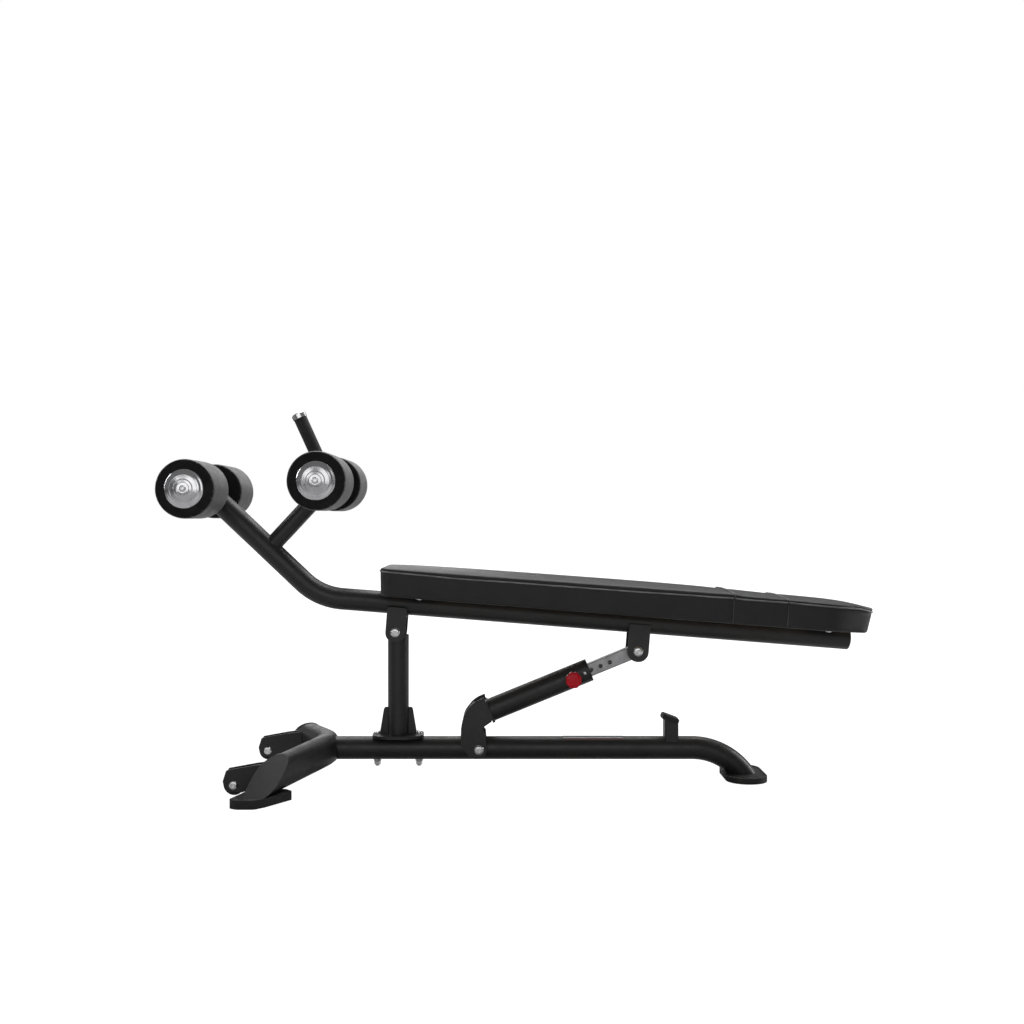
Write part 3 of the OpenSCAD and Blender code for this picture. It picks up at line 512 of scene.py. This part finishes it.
OUTLINE = rounded_path([
    (FOOT, 0, 0), (FOOT, HALF, FOOT_CORNER), (HEAD - 110 * MM, HALF, 160 * MM),
    (HEAD, HALF - 52 * MM, HEAD_CORNER), (HEAD, 0, 0),
])


def top_height(u):
    """Height of the pad's top over its board: it rises to the first seam, steps down and then tapers."""
    places = (FOOT, SEAMS[0], SEAMS[0] + 26 * MM, HEAD - 50 * MM, HEAD)
    drops = (5 * MM, 0, 2 * MM, 6 * MM, 12 * MM)
    return CREST - 1.5 * MM - np.interp(u, places, drops)


def welt_depth(u):
    """Distance from the pad's top down to its welted seam."""
    places = (FOOT, FOOT + 180 * MM, SEAMS[0] - 60 * MM, SEAMS[1], HEAD - 40 * MM, HEAD)
    return np.interp(u, places, (7.5 * MM, 12 * MM, 11.5 * MM, 7.5 * MM, 7.5 * MM, 9.5 * MM))


def edge_distance(u, v):
    """Distance from each plan point to the pad's outline."""
    a, b = OUTLINE[:-1], OUTLINE[1:]
    along = b - a
    spots = np.stack([u, np.abs(v)], -1)[:, None]
    t = np.clip(((spots - a) * along).sum(-1) / np.maximum((along * along).sum(-1), 1e-12), 0, 1)
    return np.linalg.norm(spots - a - t[..., None] * along, axis=-1).min(1)


def pad_columns():
    """Places of the grid's columns along the pad: close at both ends and at the seams."""
    foot = [FOOT + FOOT_CORNER * (1 - math.cos(math.radians(a))) for a in range(0, 90, 15)]
    head = [HEAD - HEAD_CORNER * (1 - math.sin(math.radians(a))) for a in range(35, 86, 9)]
    seams = [seam + step * MM for seam in SEAMS for step in (-5, -2, 0, 2, 5)]
    middle = np.arange(FOOT + FOOT_CORNER, head[0] - 3 * MM, 7.6 * MM)
    keep = [u for u in middle if min(abs(u - s) for s in seams) > 3 * MM]
    return np.array(sorted(foot + keep + seams + head + [HEAD]))


def pad_rows():
    """Places of the grid's rows across the pad, from -1 to 1."""
    near = [1 - d * MM / HALF for d in (0, 1.2, 3.4, 6.4, 10.5, 17)]
    inner = list(np.linspace(-1 + 25 * MM / HALF, 1 - 25 * MM / HALF, 25))
    return np.array([-t for t in near] + inner + near[::-1])


class Pad:
    """The cushion in the bench's frame: a grid on top, rings down its sides and a grid underneath."""

    def __init__(self):
        self.u, self.t = pad_columns(), pad_rows()
        nu, nt = len(self.u), len(self.t)
        self.grid = np.arange(nu * nt).reshape(nu, nt)
        self.half = np.interp(self.u, OUTLINE[1:-1, 0], OUTLINE[1:-1, 1])
        self.rim = (
            [(k, 0) for k in range(nu)] + [(nu - 1, k) for k in range(1, nt)]
            + [(k, nt - 1) for k in range(nu - 2, -1, -1)] + [(0, k) for k in range(nt - 2, 0, -1)]
        )
        self.rim_at = {spot: k for k, spot in enumerate(self.rim)}
        self.seam_columns = [int(np.argmin(abs(self.u - seam))) for seam in SEAMS]
        self.rings = [np.array([self.grid[spot] for spot in self.rim])]
        columns, rows = np.array(self.rim).T
        self.rim_u, self.rim_t, self.rim_half = self.u[columns], self.t[rows], self.half[columns]
        parts = [self.top_points()]
        line = parts[0][self.rings[0]][:, :2]
        self.run = np.concatenate([[0], np.cumsum(np.linalg.norm(np.diff(line, axis=0), axis=1))])
        count = nu * nt
        for inset, height in self.levels():
            parts.append(self.place(self.rim_u, self.rim_t, self.rim_half, inset, height))
            self.rings.append(np.arange(count, count + len(self.rim)))
            count += len(self.rim)
        # The last eight rings turn under the board; the wrap starts at the ring before them, the wall's foot.
        self.welt, self.seam = self.rings[1:6], self.rings[3]
        self.walls, self.wrap, self.flap = self.rings[:-8], self.rings[-9:], self.rings[-3]
        self.under = np.full((nu, nt), -1)
        self.under[columns, rows] = self.rings[-1]
        inside = self.under < 0
        self.under[inside] = np.arange(count, count + inside.sum())
        i, j = np.nonzero(inside)
        parts.append(self.place(self.u[i], self.t[j], self.half[i], 26 * MM, 3 * MM))
        self.verts = np.concatenate(parts)
        self.faces = self.quads(self.grid) + [f[::-1] for f in self.quads(self.under)]
        for upper, lower in zip(self.rings, self.rings[1:]):
            for k in range(len(self.rim)):
                n = (k + 1) % len(self.rim)
                self.faces.append((upper[n], upper[k], lower[k], lower[n]))

    def top_points(self):
        """The top's grid: rounded shoulders and a slight crown."""
        i, j = np.indices(self.grid.shape)
        across = self.t[j] * self.half[i]
        away = edge_distance(self.u[i].ravel(), across.ravel()).reshape(i.shape)
        radius = 0.5 * welt_depth(self.u)[i]
        drop = radius - np.sqrt(np.maximum(radius**2 - np.maximum(radius - away, 0) ** 2, 0))
        crown = 2.5 * MM * fade(away, 0, 90 * MM)
        height = top_height(self.u)[i] - drop + crown
        return self.place(self.u[i], self.t[j], self.half[i], 0, height).reshape(-1, 3)

    def levels(self):
        """Inset and height of each ring: the welt, the wall, the wrap round its foot and the stapled flap."""
        deep = welt_depth(self.rim_u)
        wander = np.array([1.1 * MM * ripple(7 * s, 1.7) + 0.35 * MM * ripple(38 * s, 5.2) for s in self.run])
        waver = np.array([1.5 * MM * ripple(40 * s, 3.1) for s in self.run])
        seam = top_height(self.rim_u) - deep - wander * deep / (12 * MM)
        # The cushion's foot end has a notch for the beam, so nothing hangs there.
        beside_beam = fade(np.abs(self.rim_t * self.rim_half), 33 * MM, 42 * MM)
        hang = HANG * np.where(self.rim_u > FOOT, 1, beside_beam)
        below, foot, flap = seam - 2.2 * MM, 4 * MM - hang, -0.15 * MM
        welt = [(0, seam - step * MM) for step in (-2.2, -0.9, 0.0, 0.9, 2.2)]
        wall = [(0, below - (below - foot) * f) for f in np.linspace(0.14, 1, 7)]
        wrap = [
            (1.2 * MM, 1.2 * MM - hang), (4 * MM, -hang), (10 * MM, -hang),
            (12.5 * MM, np.minimum(1.2 * MM - hang, flap)), (13.5 * MM, flap), (18 * MM, flap),
            (22 * MM + waver, flap), (23.5 * MM + waver, 2 * MM),
        ]
        return welt + wall + wrap

    def over(self, column):
        """Point numbers up one side wall, across the top at one column and down the other side wall."""
        rows = (0, len(self.t) - 1)
        sides = [[ring[self.rim_at[(column, row)]] for ring in self.walls] for row in rows]
        return np.concatenate([sides[0][::-1], self.grid[column, 1:-1], sides[1]])

    @staticmethod
    def quads(grid):
        a, b, c, d = grid[:-1, :-1], grid[1:, :-1], grid[1:, 1:], grid[:-1, 1:]
        return [tuple(q) for q in np.stack([a, b, c, d], -1).reshape(-1, 4)]

    @staticmethod
    def place(u, t, half, inset, height):
        """Points of the pad from their place in plan; columns close up near an end that leans in."""
        sunk = np.clip(1 - (height + HANG) / (60 * MM), 0, 1)
        foot = FOOT + 6 * MM * sunk + inset
        head = HEAD - 13 * MM * sunk - inset
        reach = 12 * MM
        x = np.where(u < foot + reach, foot + (u - FOOT) * reach / (foot + reach - FOOT), u)
        x = np.where(u > head - reach, head - (HEAD - u) * reach / (HEAD - head + reach), x)
        return np.stack(np.broadcast_arrays(x, t * (half - inset), UNDER_BOARD + height), -1)


def build_mesh(name, verts, faces, look):
    mesh = bpy.data.meshes.new(name)
    mesh.from_pydata([tuple(v) for v in verts], [], [tuple(int(k) for k in f) for f in faces])
    mesh.validate()
    mesh.shade_smooth()
    mesh.materials.append(look)
    made = bpy.data.objects.new(name, mesh)
    scene.collection.objects.link(made)
    return made


def read_points(mesh):
    flat = np.empty(3 * len(mesh.vertices))
    mesh.vertices.foreach_get("co", flat)
    return flat.reshape(-1, 3)


def read_normals(mesh):
    flat = np.empty(3 * len(mesh.vertices))
    mesh.vertex_normals.foreach_get("vector", flat)
    return flat.reshape(-1, 3)


def inflate(obj, held, cap):
    """Swells a mesh by cloth pressure with the held points pinned, and moves no point by more than cap."""
    start = read_points(obj.data)
    pins = obj.vertex_groups.new(name="pins")
    pins.add([int(k) for k in held], 1.0, "REPLACE")
    cloth = obj.modifiers.new("cloth", "CLOTH")
    cloth.settings.vertex_group_mass = "pins"
    cloth.settings.use_pressure = True
    cloth.settings.uniform_pressure_force = 0.5
    cloth.settings.quality = 4
    cloth.settings.mass = 0.3
    cloth.settings.tension_stiffness = cloth.settings.compression_stiffness = 80
    cloth.settings.shear_stiffness = 27
    cloth.settings.bending_stiffness = 5
    cloth.settings.effector_weights.gravity = 0
    cloth.collision_settings.use_collision = False
    for number in range(1, 15):
        scene.frame_set(number)
    settled = obj.evaluated_get(bpy.context.evaluated_depsgraph_get()).to_mesh()
    moved = read_points(settled) - start
    scene.frame_set(1)
    obj.modifiers.remove(cloth)
    obj.vertex_groups.remove(pins)
    reach = np.linalg.norm(moved, axis=1, keepdims=True)
    moved *= np.minimum(1, cap / np.maximum(reach, 1e-9))
    obj.data.vertices.foreach_set("co", (start + moved).ravel())
    obj.data.update()


def make_pad():
    """The upholstered pad: swollen panels, a welted seam round its top edge and two seams across its head."""
    pad = Pad()
    obj = build_mesh("pad", pad.verts, pad.faces, LOOKS["vinyl_black"])
    obj.matrix_world = BENCH
    seam_points = [pad.over(column) for column in pad.seam_columns]
    held = np.unique(np.concatenate([pad.seam, *pad.wrap, pad.under.ravel(), *seam_points]))
    inflate(obj, held, 5 * MM)
    points, normals = read_points(obj.data), read_normals(obj.data)
    for ring, move in zip(pad.welt, (-0.4, -1.0, 0.7, -1.0, -0.4)):
        points[ring] += move * MM * normals[ring]
    for k, s in enumerate(pad.run):
        pucker = 0.5 * MM * ripple(52 * s, 9.4)
        for ring in (pad.rings[0], pad.welt[0], pad.welt[-1]):
            points[ring[k]] += pucker * normals[ring[k]]
    for column, depth in zip(pad.seam_columns, (1.0, 0.5)):
        for step, move in ((-1, -0.9 * depth), (0, 1.3 * depth), (1, -0.9 * depth)):
            line = pad.over(column + step)
            points[line] += move * MM * normals[line]
    obj.data.vertices.foreach_set("co", points.ravel())
    obj.data.update()
    smooth = obj.modifiers.new("smooth", "SUBSURF")
    smooth.levels = smooth.render_levels = 1
    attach(obj, "bench")
    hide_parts("pad_cover", "pad_foam")
    return pad, points, read_normals(obj.data)


def piping(name, lines, look):
    """Round piping swept along lines of (points, normals, radius, closed), in the bench's frame."""
    verts, faces = [], []
    sides = 8
    for points, normals, radius, closed in lines:
        first, count = len(verts), len(points)
        for k in range(count):
            before = points[(k - 1) % count] if closed else points[max(k - 1, 0)]
            after = points[(k + 1) % count] if closed else points[min(k + 1, count - 1)]
            along = (after - before) / max(np.linalg.norm(after - before), 1e-9)
            across = np.cross(along, normals[k])
            across /= max(np.linalg.norm(across), 1e-9)
            out = np.cross(across, along)
            for j in range(sides):
                angle = 2 * math.pi * j / sides
                verts.append(points[k] + radius * (math.cos(angle) * across + (math.sin(angle) + 0.1) * out))
        for k in range(count if closed else count - 1):
            here, there = first + k * sides, first + (k + 1) % count * sides
            for j in range(sides):
                n = (j + 1) % sides
                faces.append((here + j, here + n, there + n, there + j))
        if not closed:
            faces.append(tuple(first + j for j in range(sides))[::-1])
            faces.append(tuple(first + (count - 1) * sides + j for j in range(sides)))
    made = build_mesh(name, verts, faces, look)
    made.matrix_world = BENCH
    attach(made, "bench")


def stitches(name, paths, look, pitch=4.6 * MM, length=3.1 * MM, thick=0.42 * MM, lift=0.1 * MM):
    """Short rounded stitches laid along paths of (points, normals), in the bench's frame."""
    verts, faces = [], []
    ring = [(math.cos(a), math.sin(a)) for a in np.linspace(0, 2 * math.pi, 7)[:-1]]
    for points, normals in paths:
        run = np.concatenate([[0], np.cumsum(np.linalg.norm(np.diff(points, axis=0), axis=1))])
        for s in np.arange(pitch, run[-1] - pitch, pitch):
            spot = np.array([np.interp(s, run, points[:, k]) for k in range(3)])
            ahead = np.array([np.interp(s + pitch / 2, run, points[:, k]) for k in range(3)])
            up = np.array([np.interp(s, run, normals[:, k]) for k in range(3)])
            along = (ahead - spot) / max(np.linalg.norm(ahead - spot), 1e-9)
            side = np.cross(along, up)
            side /= max(np.linalg.norm(side), 1e-9)
            up = np.cross(side, along)
            first = len(verts)
            for place, size in ((-0.5, 0.35), (-0.3, 1.0), (0.3, 1.0), (0.5, 0.35)):
                centre = spot + along * place * length + up * (lift + (size - 1) * thick * 0.6)
                for c, d in ring:
                    verts.append(centre + size * thick * (c * side + d * up))
            for level in range(3):
                for k in range(6):
                    a, b = first + 6 * level + k, first + 6 * level + (k + 1) % 6
                    faces.append((a, b, b + 6, a + 6))
            faces.append(tuple(first + k for k in range(5, -1, -1)))
            faces.append(tuple(first + 18 + k for k in range(6)))
    made = build_mesh(name, verts, faces, look)
    made.matrix_world = BENCH
    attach(made, "bench")


def dress_pad():
    """Adds the welt, the seams' rolls, the stitches beside both, and the staples of the flap underneath."""
    pad, points, normals = make_pad()
    loop = np.append(np.arange(len(pad.rim)), 0)
    paths = [(points[ring[loop]], normals[ring[loop]]) for ring in (pad.welt[0], pad.welt[-1])]
    for column in pad.seam_columns:
        for step in (-2, 2):
            line = pad.over(column + step)
            paths.append((points[line], normals[line]))
    # The welt's piping carries a painted highlight in its pale grey colour.
    piping("pad_piping", [(points[pad.seam], normals[pad.seam], 1.7 * MM, True)], LOOKS["piping_painted_highlight"])
    seams = [(points[line], normals[line], 2.0 * MM, False) for line in map(pad.over, pad.seam_columns)]
    piping("pad_seams", seams, LOOKS["seam_black"])
    stitches("pad_stitches", paths, LOOKS["thread_black"])
    three_sides = pad.flap[: 2 * len(pad.u) + len(pad.t)]
    staples = [(points[three_sides], np.tile((0.0, 0.0, -1.0), (len(three_sides), 1)))]
    stitches("pad_staples", staples, LOOKS["zinc_steel"], 38 * MM, 10 * MM, 0.35 * MM, 0.0)


# ---------- rollers ----------


def make_roller(name, axle, side, body, node):
    """A moulded foam roller with soft ends and a faintly gathered skin on its end faces."""
    low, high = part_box(node)
    ends = sorted((low.y, high.y), key=abs)
    inner, outer = ends[0] * side, ends[1] * side
    radius, bore, soft = (high.z - low.z) / 2, 16.1 * MM, 9 * MM
    gather_at, gather_width = 57 * MM, 11 * MM
    profile = [(bore, outer)] + [(r * MM, outer) for r in (30, 46, 49, 53, 57)]
    corner = [(math.cos(a), math.sin(a)) for a in np.linspace(math.pi / 2, 0, 7)]
    profile += [(radius - soft + soft * c, outer - soft + soft * d) for c, d in corner]
    steps = np.linspace(0, 1, 14)[1:-1]
    profile += [(radius, outer - soft - (outer - inner - 2 * soft) * f) for f in steps]
    profile += [(radius - soft + soft * c, inner + soft - soft * d) for c, d in corner[::-1]]
    profile += [(52 * MM, inner), (36 * MM, inner), (bore, inner), (bore, (inner + outer) / 2)]
    seed = 10 * axle.x + side

    def shape(angle, index):
        r, along = profile[index]
        x, y = math.cos(angle), math.sin(angle)
        gather = 0.5 + 0.5 * math.cos(26 * angle + 2.4 * ripple(2 * x, 2 * y, seed))
        near_gather = max(0.0, 1 - abs(r - gather_at) / gather_width)
        on_face = abs(along - outer) < soft or abs(along - inner) < soft
        dent = 1.1 * MM * gather * near_gather * on_face
        wave = 0.35 * MM * ripple(3 * x, 3 * y, 18 * along + seed) - 0.4 * MM
        towards = -1 if abs(along - outer) < abs(along - inner) else 1
        return (r + (wave if r > radius - 1 * MM else 0), side * (along + towards * dent))

    verts, faces = lathe(len(profile), shape, 104)
    verts = [(x + axle.x, y, z + axle.z) for x, y, z in verts]
    if side > 0:
        faces = [f[::-1] for f in faces]
    obj = build_mesh(name, verts, faces, LOOKS["foam_black"])
    # Faces that point along the axle take the darker foam copy: painted shade on the end faces.
    obj.data.materials.append(LOOKS["foam_face_painted_shade"])
    for face in obj.data.polygons:
        face.material_index = int(abs(face.normal.y) > 0.8)
    smooth = obj.modifiers.new("smooth", "SUBSURF")
    smooth.levels = smooth.render_levels = 1
    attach(obj, body)
    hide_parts(node)


def make_rollers():
    for row, axle in (("toe", TOE_AXLE), ("knee", KNEE_AXLE)):
        for hand, side in (("left", 1), ("right", -1)):
            make_roller(f"foam_{row}_{hand}", axle, side, f"{row}_roller_{hand[0]}", f"roller_{row}_{hand}")


make_camera()
make_world(1.0, 0.13)
area_light("overhead", (0.2, 1.1, 2.9), (0, 0, 0.4), (3.4, 2.2), 95)
area_light("front", (-0.6, -4.6, 1.5), (0, 0, 0.4), (5.2, 2.4), 38)
area_light("right", (2.9, 0.7, 1.3), (0, 0, 0.4), (0.7, 2.0), 34)
area_light("left", (-3.0, 0.5, 1.5), (-0.4, 0, 0.5), (0.6, 1.6), 18)
area_light("back", (-1.3, 4.5, 1.5), (-0.3, 0, 0.6), (2.6, 1.0), 19)
make_floor(pale_floor())
scene.view_settings.view_transform = "Standard"
paint_frame()
dress_pad()
make_rollers()
